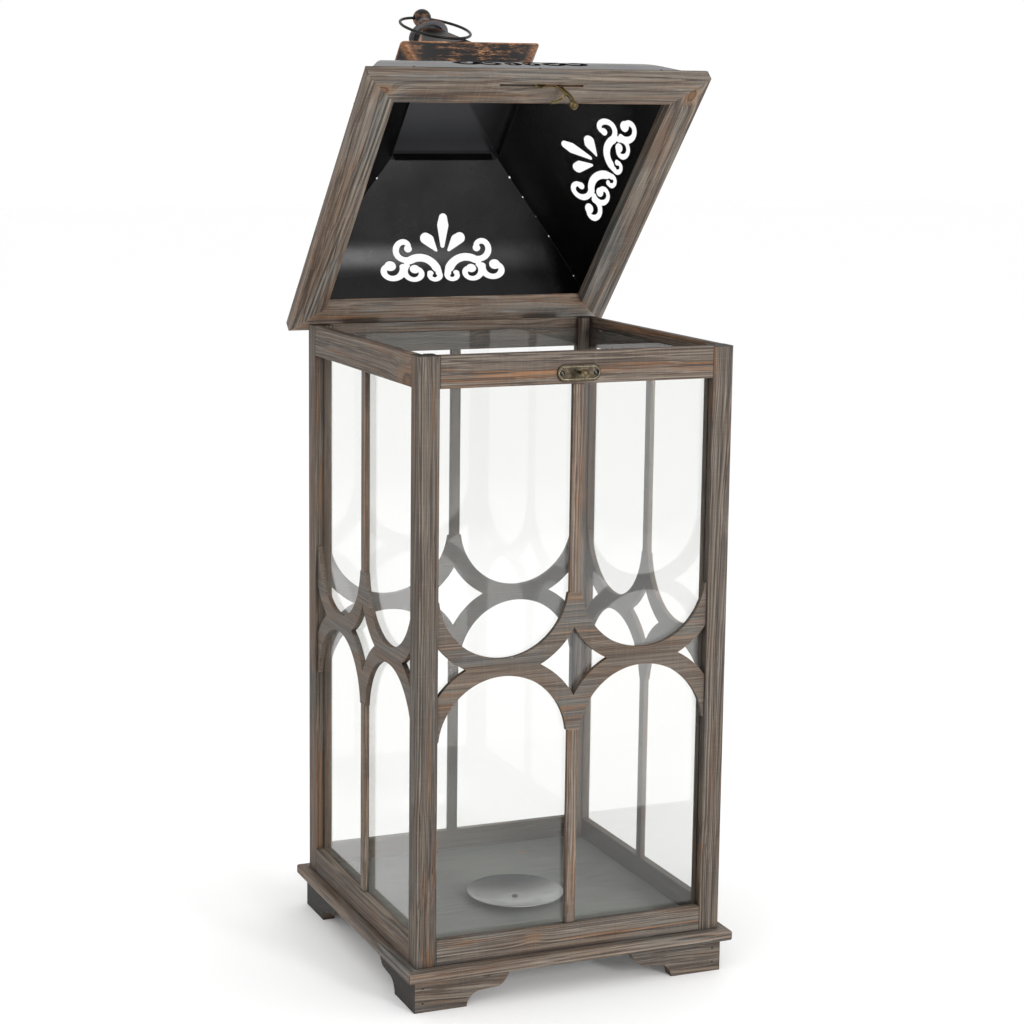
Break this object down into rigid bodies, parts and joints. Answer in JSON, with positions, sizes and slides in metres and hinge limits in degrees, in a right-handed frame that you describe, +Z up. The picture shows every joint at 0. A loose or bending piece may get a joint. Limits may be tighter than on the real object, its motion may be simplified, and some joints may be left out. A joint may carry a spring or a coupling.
{
  "type": "candle lantern",
  "caption": "Tall square wood and glass lantern with arched frets and bracket feet; hinged pierced metal roof with a hood, finial, hanging ring and swinging latch hook.",
  "frame": {"origin": "centre of the square footprint, on the ground the feet stand on", "axes": "+X to the lantern's right, +Y to the back (hinge side), +Z up; the latch side faces -Y; the lid is stored open 46.8 degrees"},
  "size_m": [0.3322, 0.4163, 0.8877],
  "materials": {
    "weathered_fir": "wire-brushed, grey-brown stain",
    "floor_board": "grey stain",
    "glass": "clear float",
    "dish_metal": "satin grey",
    "roof_sheet": "satin black",
    "aged_bronze": "black with bronze rub",
    "antique_brass": "antique, dull",
    "dark_steel": "dark zinc"
  },
  "bodies": {
    "body": {"post_front_left": "weathered_fir", "post_front_right": "weathered_fir", "post_rear_right": "weathered_fir", "post_rear_left": "weathered_fir", "top_rail_front": "weathered_fir", "top_rail_right": "weathered_fir", "top_rail_rear": "weathered_fir", "top_rail_left": "weathered_fir", "bottom_rail_front": "weathered_fir", "bottom_rail_right": "weathered_fir", "bottom_rail_rear": "weathered_fir", "bottom_rail_left": "weathered_fir", "fret_front": "weathered_fir", "fret_right": "weathered_fir", "fret_rear": "weathered_fir", "fret_left": "weathered_fir", "mullions_front": "weathered_fir", "mullions_right": "weathered_fir", "mullions_rear": "weathered_fir", "mullions_left": "weathered_fir", "glass_front": "glass", "glass_right": "glass", "glass_rear": "glass", "glass_left": "glass", "floor_panel": "floor_board", "plinth_front": "weathered_fir", "plinth_right": "weathered_fir", "plinth_rear": "weathered_fir", "plinth_left": "weathered_fir", "foot_front_left": "weathered_fir", "foot_front_right": "weathered_fir", "foot_rear_right": "weathered_fir", "foot_rear_left": "weathered_fir", "candle_dish": "dish_metal", "dish_rivet": "dark_steel", "brads": "dark_steel", "latch_plate": "antique_brass", "latch_pin": "antique_brass", "latch_screws": "antique_brass", "hinge_body_leaves": "dark_steel", "hinge_pins": "dark_steel", "hinge_body_screws": "dark_steel"},
    "lid": {"lid_rail_front": "weathered_fir", "lid_rail_right": "weathered_fir", "lid_rail_rear": "weathered_fir", "lid_rail_left": "weathered_fir", "roof_panel_front": "roof_sheet", "roof_panel_right": "roof_sheet", "roof_panel_rear": "roof_sheet", "roof_panel_left": "roof_sheet", "roof_tacks": "dark_steel", "hood": "aged_bronze", "collar": "aged_bronze", "finial": "aged_bronze", "finial_nut": "dark_steel", "hinge_lid_leaves": "dark_steel", "hinge_lid_screws": "dark_steel", "hook_pin": "antique_brass"},
    "ring": {"ring_handle": "aged_bronze"},
    "hook": {"hook": "antique_brass"}
  },
  "joints": [
    {"name": "lid_hinge", "type": "hinge", "parent": "body", "child": "lid", "pos_m": [0, 0.1532, 0.5809], "axis": [-1, 0, 0], "range_deg": [-46.8, 57]},
    {"name": "ring_swing", "type": "hinge", "parent": "lid", "child": "ring", "pos_m": [0, 0.2415, 0.87837], "axis": [-0.9968, -0.0549, 0.0585], "range_deg": [0, 306]},
    {"name": "hook_swing", "type": "hinge", "parent": "lid", "child": "hook", "pos_m": [-0.001, -0.0562, 0.81309], "axis": [0, 0.6845, -0.729], "range_deg": [-12, 25]}
  ]
}
